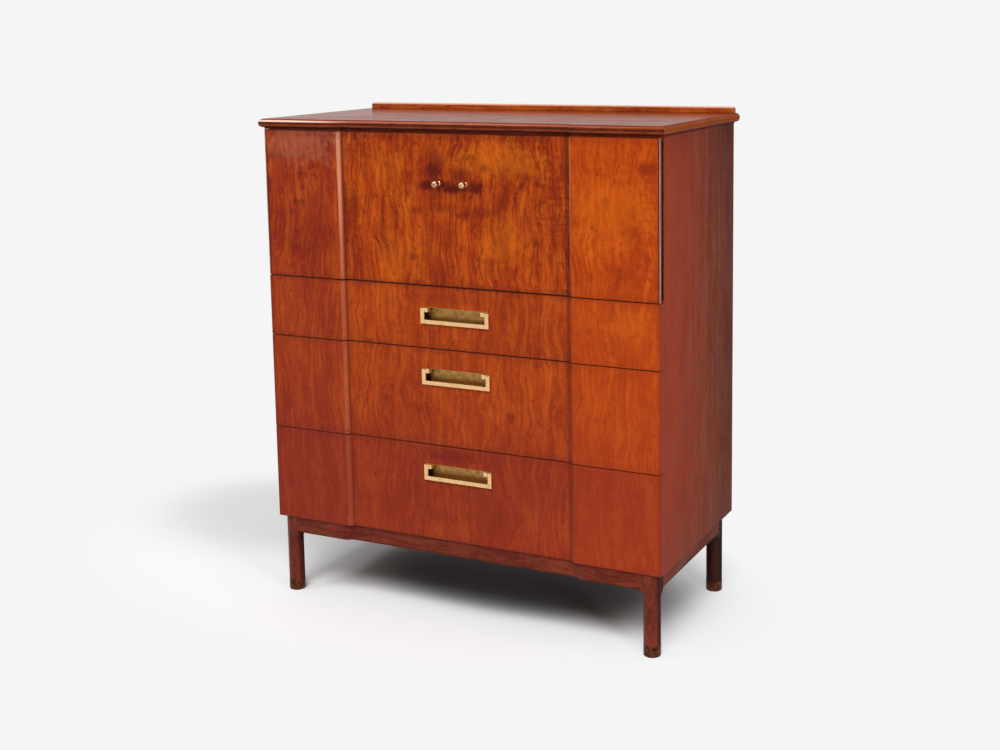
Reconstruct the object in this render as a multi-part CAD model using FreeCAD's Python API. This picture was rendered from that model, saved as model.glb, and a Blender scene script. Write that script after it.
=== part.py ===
import FreeCAD, Part
import os
from math import acos, atan2, cos, sin, sqrt

# A two-door chest over three full-width drawers, on a low base with round legs.
# X runs to the right, Y to the back and Z up. The doors and drawers face -Y.
# The origin lies on the floor, in the middle of the box round the whole chest.
# Lengths are in millimetres.

# Doors and drawer fronts
front_width = 1036.0
front_core = 12.0
front_step = 10.0
middle_width = 598.0
front_gap = 1.5
door_gap = 1.0
rest_gap = 2.5
edge_ease = 1.2
deep_front_height = 233.0
shallow_front_height = 149.0
door_height = 359.0
door_top_gap = 1.0
base_gap = 1.5

# Case
case_depth = 471.0
case_side_inset = 1.5
panel_thickness = 19.0
divider_depth = 60.0
back_thickness = 6.0
back_rabbet = 9.0

# Top board, its ground and the rail along its back
top_thickness = 21.0
top_side_overhang = 12.5
top_front_overhang = 6.0
top_rear_overhang = 3.0
top_nose_upper = 10.0
top_nose_lower = 9.5
top_step_convex = 16.0
top_step_concave = 6.0
ground_thickness = 3.5
ground_setback = 2.0
gallery_height = 15.0
gallery_thickness = 14.0
gallery_end_inset = 10.5
gallery_end_round = 7.0
gallery_round = 4.0

# Base
base_height = 194.5
apron_height = 37.0
apron_thickness = 22.0
apron_step_radius = 20.0
base_front_setback = 3.8
base_side_setback = 10.5
base_rear_setback = 31.5
leg_radius = 19.8
leg_outer_round = 19.5
leg_inner_round = 0.5
leg_block_drop = 16.0
bracket_radius = 11.0
bracket_setback = 8.0
ferrule_height = 26.0
ferrule_wall = 1.2
ferrule_sole = 2.0
ferrule_proud = 0.4
ferrule_round = 3.0
corner_block_leg = 48.0

# Cupboard
shelf_thickness = 16.0
shelf_side_clearance = 1.0
shelf_front_setback = 22.0
shelf_rear_clearance = 3.0
shelf_height_share = 0.5
shelf_pin_radius = 2.5
shelf_pin_embed_share = 0.42
shelf_pin_reach = 9.0
shelf_pin_edge = 45.0
shelf_hole_pitch = 32.0
shelf_holes_each_way = 2

# Door hinges, catches and knobs
lip_width = 5.2
lip_groove = 3.2
lip_groove_depth = 5.0
lip_depth = 9.0
lip_front_setback = 0.5
lip_round = 0.8
knuckle_radius = 2.4
knuckle_side_setback = 2.6
knuckle_rebate_clearance = 0.3
hinge_pin_radius = 1.2
hinge_pin_clearance = 0.05
hinge_leaf_width = 14.0
hinge_leaf_thickness = 1.0
hinge_end_margin = 6.0
hinge_end_play = 0.3
hinge_knuckles = 13
hinge_screws = 4
catch_width = 34.0
catch_depth = 26.0
catch_height = 12.0
catch_offset = 24.0
catch_air = 0.3
catch_ease = 2.0
strike_thickness = 1.2
strike_height = 14.0
knob_reach = 25.0
knob_head_radius = 8.5
knob_head_rise = 9.0
knob_stem_radius = 3.4
knob_base_radius = 5.2
knob_base_rise = 2.2
knob_stud_radius = 2.0
knob_stud_length = 9.0
knob_spacing = 71.0
knob_drop = 117.5
knob_flare_share = 0.33
knob_rim_share = 0.33
knob_under_share = 0.11

# Drawer boxes and their runners
box_side_clearance = 3.0
box_wall = 14.0
box_lift = 6.0
box_headroom = 8.0
box_rear_clearance = 23.0
box_back_drop = 10.0
bottom_thickness = 5.0
bottom_lift = 9.0
bottom_groove = 6.0
runner_height = 16.0
runner_clearance = 0.3
runner_groove_depth = 8.0
runner_end_air = 0.5
runner_front_setback = 30.0
runner_height_share = 0.5

# Drawer pulls
pull_width = 182.0
pull_height = 37.5
pull_drop = 49.5
shallow_pull_drop = 53.0
bail_bar = 10.0
bail_thickness = 4.0
bail_air = 0.4
bail_side_air = 0.25
bail_ease = 0.8
post_width = 10.0
post_height = 10.0
post_sink = 8.0
pivot_radius = 1.5
pivot_clearance = 0.05
pivot_post_grip = 6.0
pivot_bail_grip = 7.0
dish_depth = 17.0
dish_wall = 1.2
dish_flange = 8.0
dish_rise = 2.0
dish_top_rim = 1.2
dish_low_reach = 4.0
dish_corner = 6.0

# Screws
screw_radius = 1.8
screw_head_radius = 3.6
screw_head_height = 2.4
small_screw_radius = 1.1
small_screw_head_radius = 2.1
small_screw_head_height = 0.8
small_screw_length = 11.0
runner_screws = 3
front_screw_share = 0.75
box_screw_share = 0.2
block_screw_share = 0.17
screw_embed = 12.0
small_screw_embed = 9.0
screw_edge = 60.0

# How far a cutting shape runs past the faces that it cuts, and how near two places count as one
overrun = 5.0
tiny = 1e-4

# Worked-out places across the chest
half_front = front_width / 2
half_middle = middle_width / 2
half_case = half_front - case_side_inset
half_inside = half_case - panel_thickness

# Worked-out places from front to back
front_thickness = front_core + front_step
case_setback = front_thickness + rest_gap
knob_stand = knob_reach - front_step
depth_behind_face = case_setback + case_depth + top_rear_overhang
y_face = knob_stand - (knob_stand + depth_behind_face) / 2
y_middle = y_face + front_step
y_front_back = y_face + front_thickness
y_case = y_face + case_setback
y_rear = y_case + case_depth
y_inside_rear = y_rear - back_thickness
y_box_rear = y_inside_rear - box_rear_clearance

# Worked-out heights
z_case = base_height
z_drawer_3 = z_case + base_gap
z_drawer_2 = z_drawer_3 + deep_front_height + front_gap
z_drawer_1 = z_drawer_2 + deep_front_height + front_gap
z_door = z_drawer_1 + shallow_front_height + front_gap
z_door_top = z_door + door_height
z_case_top = z_door_top + door_top_gap
z_divider_low = z_drawer_2 - (front_gap + panel_thickness) / 2
z_divider_high = z_drawer_1 - (front_gap + panel_thickness) / 2
z_floor = z_door - (front_gap + panel_thickness) / 2
z_inside_low = z_case + panel_thickness
z_cupboard = z_floor + panel_thickness
z_sub_top = z_case_top - panel_thickness
z_top = z_case_top + ground_thickness

# Worked-out places of the shelves and of the hinge axes
shelf_pin_embed = shelf_pin_embed_share * panel_thickness
z_shelf = z_cupboard + shelf_height_share * (z_sub_top - z_cupboard)
x_hinge = half_front - knuckle_side_setback
y_hinge = y_front_back + rest_gap / 2
half_door_panel = half_front - lip_width

X_AXIS = FreeCAD.Vector(1, 0, 0)
Y_AXIS = FreeCAD.Vector(0, 1, 0)
Z_AXIS = FreeCAD.Vector(0, 0, 1)
HANDS = {"left": -1, "right": 1}


# Basic shapes
def vec(x, y, z):
    return FreeCAD.Vector(x, y, z)


def box(x0, x1, y0, y1, z0, z1):
    low = vec(min(x0, x1), min(y0, y1), min(z0, z1))
    return Part.makeBox(abs(x1 - x0), abs(y1 - y0), abs(z1 - z0), low)


def hand_box(hand, x_inner, x_outer, y0, y1, z0, z1):
    return box(hand * x_inner, hand * x_outer, y0, y1, z0, z1)


def prism(face, z0, z1):
    solid = face.extrude(vec(0, 0, z1 - z0))
    solid.translate(vec(0, 0, z0))
    return solid


def ease(solid, radius, wanted):
    edges = [edge for edge in solid.Edges if wanted(edge)]
    return solid.makeFillet(radius, edges)


def cut_all(solid, tools):
    for tool in tools:
        solid = solid.cut(tool)
    return solid


def upright(edge):
    direction = edge.tangentAt(edge.FirstParameter)
    return abs(direction.z) > 1 - tiny


def within(value, target):
    return abs(value - target) < tiny


def screw(head, direction, length, radius, head_radius, head_height):
    """A countersunk screw: head is the middle of its flat face, direction is the way it goes in."""
    cone = Part.makeCone(head_radius, radius, head_height, head, direction)
    shank_start = head + direction * head_height
    shank = Part.makeCylinder(radius, length - head_height, shank_start, direction)
    return cone.fuse(shank).removeSplitter()


def big_screw(head, direction, length):
    return screw(head, direction, length, screw_radius, screw_head_radius, screw_head_height)


def small_screw(head, direction, length):
    return screw(head, direction, length, small_screw_radius, small_screw_head_radius,
                 small_screw_head_height)


def spread(low, high, count):
    step = (high - low) / (count - 1)
    return [low + step * index for index in range(count)]


# The stepped outline that the fronts, the top board and the base share
def breakfront(half, y_out, y_back, half_in, convex, concave):
    """A plan whose front steps back in the middle, each step turning once out and once in."""
    turn = acos(1 - front_step / (convex + concave))
    half_out = half_in + (convex + concave) * sin(turn)
    y_in = y_out + front_step

    def outer(hand, angle):
        return vec(hand * (half_out - convex * sin(angle)), y_out + convex * (1 - cos(angle)), 0)

    def inner(hand, angle):
        return vec(hand * (half_in + concave * sin(angle)), y_in - concave * (1 - cos(angle)), 0)

    edges = []
    for hand in HANDS.values():
        edges.append(Part.makeLine(vec(hand * half, y_back, 0), vec(hand * half, y_out, 0)))
        edges.append(Part.makeLine(vec(hand * half, y_out, 0), outer(hand, 0)))
        edges.append(Part.Arc(outer(hand, 0), outer(hand, turn / 2), outer(hand, turn)).toShape())
        if concave > 0:
            edges.append(Part.Arc(inner(hand, turn), inner(hand, turn / 2), inner(hand, 0)).toShape())
    edges.append(Part.makeLine(vec(-half_in, y_in, 0), vec(half_in, y_in, 0)))
    edges.append(Part.makeLine(vec(-half, y_back, 0), vec(half, y_back, 0)))
    return Part.Face(Part.Wire(Part.__sortEdges__(edges)))


# Doors and drawer fronts
def front_plan():
    return breakfront(half_front, y_face, y_front_back, half_middle, front_step, 0)


def eased_front(solid, z0, z1):
    """Rounds the arrises round the face, but not where the step or the other door meets it."""
    def on_face(edge):
        box_of_edge = edge.BoundBox
        if box_of_edge.YMax > y_middle + tiny:
            return False
        if upright(edge):
            return abs(edge.CenterOfMass.x) > half_middle + front_step + tiny
        return within(box_of_edge.ZMin, z0) or within(box_of_edge.ZMin, z1)
    return ease(solid, edge_ease, on_face)


def door_panel(hand):
    blank = prism(front_plan(), z_door, z_door_top)
    keep = hand_box(hand, door_gap / 2, half_door_panel, y_face, y_front_back, z_door, z_door_top)
    panel = eased_front(blank.common(keep), z_door, z_door_top)
    return cut_all(panel, door_leaf_screws(hand) + [knob(hand)])


def door_lip(hand):
    """A thin bead along the hinge edge of the door, set off by a narrow groove."""
    x_bead = half_door_panel + lip_groove
    y_bead = y_face + lip_front_setback
    y_groove = y_face + lip_groove_depth
    y_lip = y_face + lip_depth
    bead = hand_box(hand, x_bead, half_front, y_bead, y_lip, z_door, z_door_top)
    bead = ease(bead, lip_round, lambda edge: upright(edge) and within(edge.CenterOfMass.y, y_bead))
    root = hand_box(hand, half_door_panel, x_bead, y_groove, y_lip, z_door, z_door_top)
    return bead.fuse(root).removeSplitter()


def drawer_front(z0, z1, z_pull, box_low, box_high):
    front = eased_front(prism(front_plan(), z0, z1), z0, z1).cut(dish_block(z_pull))
    return cut_all(front, drawer_screw_list(box_low, box_high, z_pull))


# Door hinges: a continuous hinge along each outer edge, its leaves in the gap behind the door
def knuckle_spans(own_first):
    """Low and high ends of every second knuckle, with play between neighbours."""
    ends = spread(z_door + hinge_end_margin, z_door_top - hinge_end_margin, hinge_knuckles + 1)
    spans = []
    for index in range(hinge_knuckles):
        if (index % 2 == 0) == own_first:
            spans.append((ends[index] + hinge_end_play / 2, ends[index + 1] - hinge_end_play / 2))
    return spans


def hinge_leaf(hand, y0, y1, spans):
    z0 = z_door + hinge_end_margin
    z1 = z_door_top - hinge_end_margin
    x_plate = x_hinge - knuckle_radius - knuckle_rebate_clearance
    leaf = hand_box(hand, x_plate - hinge_leaf_width, x_plate, y0, y1, z0, z1)
    for low, high in spans:
        centre = vec(hand * x_hinge, y_hinge, low)
        barrel = Part.makeCylinder(knuckle_radius, high - low, centre, Z_AXIS)
        tab = hand_box(hand, x_plate, x_hinge, y0, y1, low, high)
        leaf = leaf.fuse(barrel.fuse(tab))
    bore = Part.makeCylinder(hinge_pin_radius + hinge_pin_clearance, z1 - z0,
                             vec(hand * x_hinge, y_hinge, z0), Z_AXIS)
    return leaf.cut(bore).removeSplitter()


def leaf_screw_places(hand):
    x_screw = x_hinge - knuckle_radius - knuckle_rebate_clearance - hinge_leaf_width / 2
    inset = (z_door_top - z_door) / (2 * hinge_screws)
    return [(hand * x_screw, z) for z in spread(z_door + inset, z_door_top - inset, hinge_screws)]


def door_leaf_screws(hand):
    y_head = y_front_back + hinge_leaf_thickness
    return [small_screw(vec(x, y_head, z), -Y_AXIS, small_screw_length) for x, z in leaf_screw_places(hand)]


def case_leaf_screws(hand):
    y_head = y_case - hinge_leaf_thickness
    return [small_screw(vec(x, y_head, z), Y_AXIS, small_screw_length) for x, z in leaf_screw_places(hand)]


def door_leaf(hand):
    screws = door_leaf_screws(hand)
    leaf = hinge_leaf(hand, y_front_back, y_front_back + hinge_leaf_thickness, knuckle_spans(False))
    return [cut_all(leaf, screws)] + screws


def case_leaves():
    pieces = []
    for hand in HANDS.values():
        screws = case_leaf_screws(hand)
        leaf = hinge_leaf(hand, y_case - hinge_leaf_thickness, y_case, knuckle_spans(True))
        pieces.append(cut_all(leaf, screws))
        pieces.extend(screws)
    return pieces


def hinge_pins():
    z0 = z_door + hinge_end_margin
    z1 = z_door_top - hinge_end_margin
    return [Part.makeCylinder(hinge_pin_radius, z1 - z0, vec(hand * x_hinge, y_hinge, z0), Z_AXIS)
            for hand in HANDS.values()]


def lathe(radius, height):
    """A point of a turned profile: height runs outward from the middle section's face."""
    return vec(radius, y_middle - height, 0)


def lathe_line(start, end):
    return Part.makeLine(lathe(*start), lathe(*end))


def lathe_arc(start, middle, end):
    return Part.Arc(lathe(*start), lathe(*middle), lathe(*end)).toShape()


def knob(hand):
    """A turned mushroom knob with a flared foot, and the stud that holds it in the door."""
    neck = knob_stem_radius
    head_back = knob_reach - knob_head_rise
    rim_height = head_back + knob_rim_share * knob_head_rise
    dome_rise = knob_reach - rim_height
    dome_radius = (knob_head_radius ** 2 + dome_rise ** 2) / (2 * dome_rise)
    dome_middle = knob_reach - dome_radius
    half_turn = atan2(knob_head_radius, rim_height - dome_middle) / 2
    flare_middle = (neck + knob_flare_share * (knob_base_radius - neck), knob_base_rise / 2)
    under_middle = ((neck + knob_head_radius) / 2, head_back + knob_under_share * knob_head_rise)
    dome_side = (dome_radius * sin(half_turn), dome_middle + dome_radius * cos(half_turn))
    stud_end = (knob_stud_radius, -knob_stud_length)
    profile = [
        lathe_line((0, -knob_stud_length), stud_end),
        lathe_line(stud_end, (knob_stud_radius, 0)),
        lathe_line((knob_stud_radius, 0), (knob_base_radius, 0)),
        lathe_arc((knob_base_radius, 0), flare_middle, (neck, knob_base_rise)),
        lathe_line((neck, knob_base_rise), (neck, head_back)),
        lathe_arc((neck, head_back), under_middle, (knob_head_radius, rim_height)),
        lathe_arc((knob_head_radius, rim_height), dome_side, (0, knob_reach)),
        lathe_line((0, knob_reach), (0, -knob_stud_length)),
    ]
    turned = Part.Face(Part.Wire(profile)).revolve(vec(0, y_middle, 0), Y_AXIS, 360)
    turned.translate(vec(hand * knob_spacing / 2, 0, z_door_top - knob_drop))
    return turned


def catch_middle(hand):
    return hand * (panel_thickness / 2 + catch_offset)


def door_catches():
    """A magnet case under the sub-top for each door."""
    y0 = y_front_back + strike_thickness + catch_air
    z0 = z_sub_top - catch_height

    def low_side(edge):
        return within(edge.CenterOfMass.z, z0) and edge.BoundBox.YLength > tiny

    catches = []
    for hand in HANDS.values():
        x = catch_middle(hand)
        block = box(x - catch_width / 2, x + catch_width / 2, y0, y0 + catch_depth, z0, z_sub_top)
        catches.append(ease(block, catch_ease, low_side))
    return catches


def strike(hand):
    """A steel plate on the back of the door, facing its catch."""
    x = catch_middle(hand)
    z = z_sub_top - catch_height / 2
    return box(x - catch_width / 2, x + catch_width / 2, y_front_back, y_front_back + strike_thickness,
               z - strike_height / 2, z + strike_height / 2)


# Case
def case_side(hand):
    side = hand_box(hand, half_inside, half_case, y_case, y_rear, z_case, z_case_top)
    rabbet = hand_box(hand, half_inside - overrun, half_inside + back_rabbet, y_inside_rear, y_rear + overrun,
                      z_case - overrun, z_case_top + overrun)
    side = side.cut(rabbet)
    clear = knuckle_radius + knuckle_rebate_clearance
    channel = hand_box(hand, x_hinge - clear, half_case + overrun, y_case - overrun, y_hinge + clear,
                       z_door, z_door_top)
    side = side.cut(channel)
    side = cut_all(side, case_leaf_screws(hand))
    side = cut_all(side, shelf_bores(hand * half_inside, hand))
    return cut_all(side, [one for one in runner_screw_list() if one.BoundBox.Center.x * hand > 0])


def across(y0, y1, z0, z1):
    """A board between the two case sides."""
    return box(-half_inside, half_inside, y0, y1, z0, z1)


def case_bottom():
    bottom = across(y_case, y_inside_rear, z_case, z_inside_low)
    return cut_all(bottom, base_screw_list() + back_screw_list())


def cupboard_floor():
    return cut_all(across(y_case, y_inside_rear, z_floor, z_cupboard), back_screw_list())


def sub_top():
    board = across(y_case, y_inside_rear, z_sub_top, z_case_top)
    return cut_all(board, top_screw_list() + back_screw_list())


def divider_rail(z0):
    return across(y_case, y_case + divider_depth, z0, z0 + panel_thickness)


def back_panel():
    half = half_inside + back_rabbet
    panel = box(-half, half, y_inside_rear, y_rear, z_case, z_case_top)
    return cut_all(panel, back_screw_list())


def cupboard_partition():
    half = panel_thickness / 2
    partition = box(-half, half, y_case, y_inside_rear, z_cupboard, z_sub_top)
    for hand in HANDS.values():
        partition = cut_all(partition, shelf_bores(hand * half, -hand))
    return partition


# Adjustable shelves on pins
def shelf_pin_depths():
    shelf_front = y_case + shelf_front_setback
    shelf_rear = y_inside_rear - shelf_rear_clearance
    return shelf_front + shelf_pin_edge, shelf_rear - shelf_pin_edge


def shelf_bores(x_wall, into):
    """A ladder of blind holes in one wall, in two rows."""
    z_pin = z_shelf - shelf_pin_radius
    bores = []
    for y in shelf_pin_depths():
        for step in range(-shelf_holes_each_way, shelf_holes_each_way + 1):
            start = vec(x_wall, y, z_pin + step * shelf_hole_pitch)
            bores.append(Part.makeCylinder(shelf_pin_radius, shelf_pin_embed, start, X_AXIS * into))
    return bores


def shelves():
    inner = panel_thickness / 2 + shelf_side_clearance
    outer = half_inside - shelf_side_clearance
    return [hand_box(hand, inner, outer, y_case + shelf_front_setback, y_inside_rear - shelf_rear_clearance,
                     z_shelf, z_shelf + shelf_thickness) for hand in HANDS.values()]


def shelf_pins():
    pins = []
    length = shelf_pin_embed + shelf_pin_reach
    for hand in HANDS.values():
        walls = ((half_inside + shelf_pin_embed, -hand), (panel_thickness / 2 - shelf_pin_embed, hand))
        for x_start, into in walls:
            for y in shelf_pin_depths():
                start = vec(hand * x_start, y, z_shelf - shelf_pin_radius)
                pins.append(Part.makeCylinder(shelf_pin_radius, length, start, X_AXIS * into))
    return pins


# Top board, ground and gallery rail
def top_ground():
    """A thin board between case and top, set back so that a dark line shows below the nose."""
    plan = breakfront(half_front, y_face + ground_setback, y_rear, half_middle + ground_setback,
                      front_step, 0)
    return cut_all(prism(plan, z_case_top, z_top), top_screw_list())


def top_board():
    half = half_front + top_side_overhang
    y_nose = y_face - top_front_overhang
    y_back = y_rear + top_rear_overhang
    plan = breakfront(half, y_nose, y_back, half_middle - top_front_overhang,
                      top_step_convex, top_step_concave)
    board = prism(plan, z_top, z_top + top_thickness)

    def nose_edge(z):
        def wanted(edge):
            spans = edge.BoundBox
            level = within(spans.ZMin, z) and within(spans.ZMax, z)
            return level and spans.YMin < y_back - tiny
        return wanted

    board = ease(board, top_nose_upper, nose_edge(z_top + top_thickness))
    board = ease(board, top_nose_lower, nose_edge(z_top))
    return cut_all(board, top_screw_list())


def gallery_rail():
    half = half_front + top_side_overhang - gallery_end_inset
    y1 = y_rear + top_rear_overhang
    y0 = y1 - gallery_thickness
    z0 = z_top + top_thickness
    z1 = z0 + gallery_height

    def end_edge(edge):
        return within(edge.BoundBox.ZMin, z1) and within(edge.CenterOfMass.y, (y0 + y1) / 2)

    def front_edge(edge):
        return edge.BoundBox.YMax < y0 + tiny and edge.BoundBox.ZMax > z0 + tiny

    rail = ease(box(-half, half, y0, y1, z0, z1), gallery_end_round, end_edge)
    return ease(rail, gallery_round, front_edge)


# Base
def leg_place(hand, end):
    x = hand * (half_front - base_side_setback - leg_radius)
    y_near = y_face + base_front_setback + leg_radius
    y_far = y_rear - base_rear_setback - leg_radius
    return x, y_near if end == "front" else y_far


def leg(hand, end):
    """A round leg under a square block whose outer corner is well rounded."""
    x, y = leg_place(hand, end)
    ahead = -1 if end == "front" else 1
    z_block = base_height - apron_height - leg_block_drop
    block = box(x - leg_radius, x + leg_radius, y - leg_radius, y + leg_radius, z_block, base_height)

    def outer_corner(edge):
        centre = edge.CenterOfMass
        return upright(edge) and (centre.x - x) * hand > 0 and (centre.y - y) * ahead > 0

    def other_corner(edge):
        corner = sqrt(2) * leg_radius
        centre = edge.CenterOfMass
        return upright(edge) and within(sqrt((centre.x - x) ** 2 + (centre.y - y) ** 2), corner)

    block = ease(ease(block, leg_outer_round, outer_corner), leg_inner_round, other_corner)
    rounded = Part.makeCylinder(leg_radius, base_height - ferrule_height, vec(x, y, ferrule_height), Z_AXIS)
    spigot_radius = leg_radius + ferrule_proud - ferrule_wall
    spigot = Part.makeCylinder(spigot_radius, ferrule_height - ferrule_sole, vec(x, y, ferrule_sole), Z_AXIS)
    taper = Part.makeCone(leg_radius, leg_radius * sqrt(2), leg_block_drop, vec(x, y, z_block), Z_AXIS)
    below = Part.makeBox(4 * leg_radius, 4 * leg_radius, leg_block_drop,
                         vec(x - 2 * leg_radius, y - 2 * leg_radius, z_block))
    block = block.cut(below).fuse(block.common(taper))
    return block.fuse(rounded).fuse(spigot).removeSplitter()


def ferrules():
    """Open brass cups round the feet of the legs."""
    cups = []
    for hand in HANDS.values():
        for end in ("front", "rear"):
            x, y = leg_place(hand, end)
            outer = Part.makeCylinder(leg_radius + ferrule_proud, ferrule_height, vec(x, y, 0), Z_AXIS)
            outer = ease(outer, ferrule_round, lambda edge: within(edge.CenterOfMass.z, 0))
            bore = Part.makeCylinder(leg_radius + ferrule_proud - ferrule_wall, ferrule_height,
                                     vec(x, y, ferrule_sole), Z_AXIS)
            cups.append(outer.cut(bore))
    return cups


def bracket(x, y0, y1, z, hand):
    """The small curved corner under a rail that runs along X, at the face x, towards hand."""
    block = box(x, x + hand * bracket_radius, y0, y1, z - bracket_radius, z)
    length = abs(y1 - y0) + 2 * overrun
    centre = vec(x + hand * bracket_radius, min(y0, y1) - overrun, z - bracket_radius)
    return block.cut(Part.makeCylinder(bracket_radius, length, centre, Y_AXIS))


def turned_bracket(x0, x1, y, z, ahead):
    """The same corner under a rail that runs along Y."""
    block = box(x0, x1, y, y + ahead * bracket_radius, z - bracket_radius, z)
    length = abs(x1 - x0) + 2 * overrun
    centre = vec(min(x0, x1) - overrun, y + ahead * bracket_radius, z - bracket_radius)
    return block.cut(Part.makeCylinder(bracket_radius, length, centre, X_AXIS))


def base_apron():
    """The front rail of the base, which follows the step of the fronts in a softer curve."""
    x_leg, y_leg = leg_place(1, "front")
    y_out = y_face + base_front_setback
    half = x_leg - leg_radius
    z0 = base_height - apron_height
    plan = breakfront(half, y_out, y_out + case_depth, half_middle, apron_step_radius, apron_step_radius)
    solid = prism(plan, z0, base_height)
    hollow = solid.copy()
    hollow.translate(vec(0, apron_thickness, 0))
    apron = solid.cut(hollow)
    for hand in HANDS.values():
        apron = apron.fuse(bracket(hand * half, y_out + bracket_setback, y_out + apron_thickness, z0, -hand))
    return apron.removeSplitter()


def base_rear_rail():
    x_leg, y_leg = leg_place(1, "rear")
    half = x_leg - leg_radius
    y1 = y_leg + leg_radius
    z0 = base_height - apron_height
    rail = box(-half, half, y1 - apron_thickness, y1, z0, base_height)
    for hand in HANDS.values():
        rail = rail.fuse(bracket(hand * half, y1 - apron_thickness, y1 - bracket_setback, z0, -hand))
    return rail.removeSplitter()


def base_side_rail(hand):
    x_leg, y_near = leg_place(hand, "front")
    y_far = leg_place(hand, "rear")[1]
    y0 = y_near + leg_radius
    y1 = y_far - leg_radius
    x_out = x_leg + hand * leg_radius
    x_in = x_out - hand * apron_thickness
    z0 = base_height - apron_height
    rail = box(x_in, x_out, y0, y1, z0, base_height)
    x_bracket = x_out - hand * bracket_setback
    rail = rail.fuse(turned_bracket(x_in, x_bracket, y0, z0, 1))
    return rail.fuse(turned_bracket(x_in, x_bracket, y1, z0, -1)).removeSplitter()


def inner_leg_corner(hand, end):
    """The corner of the leg block that points to the middle of the base."""
    x_leg, y_leg = leg_place(hand, end)
    ahead = 1 if end == "front" else -1
    return x_leg - hand * leg_radius, y_leg + ahead * leg_radius, ahead


def corner_blocks():
    """A glue block round the inner corner of each leg, against the two rails beside it."""
    blocks = []
    z0 = base_height - apron_height
    rail_back = 2 * leg_radius - apron_thickness
    for hand in HANDS.values():
        for end in ("front", "rear"):
            x, y, ahead = inner_leg_corner(hand, end)
            x_rail = x + hand * rail_back
            y_rail = y - ahead * rail_back
            corners = [vec(x, y, z0), vec(x_rail, y, z0), vec(x_rail, y + ahead * corner_block_leg, z0),
                       vec(x - hand * corner_block_leg, y_rail, z0), vec(x, y_rail, z0), vec(x, y, z0)]
            block = Part.Face(Part.makePolygon(corners)).extrude(vec(0, 0, apron_height))
            blocks.append(cut_all(block, base_screw_list()))
    return blocks


# Screws that hold the case together
def base_screw_list():
    """One screw up through each corner block into the case bottom."""
    screws = []
    for hand in HANDS.values():
        for end in ("front", "rear"):
            x, y, ahead = inner_leg_corner(hand, end)
            inward = block_screw_share * corner_block_leg
            head = vec(x - hand * inward, y + ahead * inward, base_height - apron_height)
            screws.append(big_screw(head, Z_AXIS, apron_height + screw_embed))
    return screws


def top_screw_list():
    """Screws up through the sub-top and the ground into the top board."""
    screws = []
    for y in (y_case + screw_edge, y_inside_rear - screw_edge):
        for x in (screw_edge - half_inside, -screw_edge, screw_edge, half_inside - screw_edge):
            screws.append(big_screw(vec(x, y, z_sub_top), Z_AXIS,
                                    panel_thickness + ground_thickness + screw_embed))
    return screws


def runner_levels():
    """The middle height of each drawer's runners."""
    return [z0 + runner_height_share * (z1 - z0) for z0, z1 in box_heights()]


def runner_span():
    return y_case + runner_front_setback, y_inside_rear


def runner_screw_list():
    screws = []
    reach = half_inside - runner_inner_face()
    y0, y1 = runner_span()
    for z in runner_levels():
        for hand in HANDS.values():
            for y in spread(y0 + screw_edge / 2, y1 - screw_edge / 2, runner_screws):
                head = vec(hand * runner_inner_face(), y, z)
                screws.append(big_screw(head, X_AXIS * hand, reach + screw_embed))
    return screws


def back_screw_list():
    """Screws through the back panel into the back edges of the three full boards."""
    screws = []
    for z_board in (z_case, z_floor, z_sub_top):
        for x in (screw_edge - half_inside, 0, half_inside - screw_edge):
            head = vec(x, y_rear, z_board + panel_thickness / 2)
            screws.append(small_screw(head, -Y_AXIS, back_thickness + small_screw_embed))
    return screws


def case_screws():
    return base_screw_list() + top_screw_list() + runner_screw_list() + back_screw_list()


# Drawer runners and boxes
def box_heights():
    """Low and high edges of the drawer boxes, from the top drawer down."""
    openings = ((z_divider_high + panel_thickness, z_floor),
                (z_divider_low + panel_thickness, z_divider_high),
                (z_inside_low, z_divider_low))
    return [(low + box_lift, high - box_headroom) for low, high in openings]


def runner_inner_face():
    return half_inside - box_side_clearance - runner_groove_depth + runner_end_air


def drawer_runners():
    y0, y1 = runner_span()
    runners = []
    for z in runner_levels():
        for hand in HANDS.values():
            runner = hand_box(hand, runner_inner_face(), half_inside, y0, y1,
                              z - runner_height / 2, z + runner_height / 2)
            runners.append(cut_all(runner, runner_screw_list()))
    return runners


def bottom_panel(z0):
    half = half_box_inside() + bottom_groove
    z = z0 + bottom_lift
    y0 = y_front_back + box_wall - bottom_groove
    y1 = y_box_rear - box_wall + bottom_groove
    return box(-half, half, y0, y1, z, z + bottom_thickness)


def half_box():
    return half_inside - box_side_clearance


def half_box_inside():
    return half_box() - box_wall


def box_sides(z0, z1):
    z_mid = z0 + runner_height_share * (z1 - z0)
    half_groove = runner_height / 2 + runner_clearance
    y0 = y_front_back
    y1 = y_box_rear
    sides = []
    for hand in HANDS.values():
        side = hand_box(hand, half_box_inside(), half_box(), y0, y1, z0, z1)
        groove = hand_box(hand, half_box() - runner_groove_depth, half_box() + overrun,
                          y_case + runner_front_setback - rest_gap, y1 + overrun,
                          z_mid - half_groove, z_mid + half_groove)
        sides.append(side.cut(groove).cut(bottom_panel(z0)))
    return sides


def drawer_screw_list(z0, z1, z_pull):
    """Screws from the box into the front, and the dish's own two under the arms of the bail."""
    screws = []
    inset = box_screw_share * (z1 - z0)
    y_head = y_front_back + box_wall
    for hand in HANDS.values():
        for z in (z0 + inset, z1 - inset):
            head = vec(hand * (half_box_inside() - screw_edge), y_head, z)
            screws.append(big_screw(head, -Y_AXIS, box_wall + front_core * front_screw_share))
        x_flange = dish_half() + dish_wall + (dish_flange - dish_wall) / 2
        z_flange = z_pull - pull_height / 2
        screws.append(small_screw(vec(hand * x_flange, y_middle, z_flange), Y_AXIS, small_screw_length))
    return screws


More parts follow.
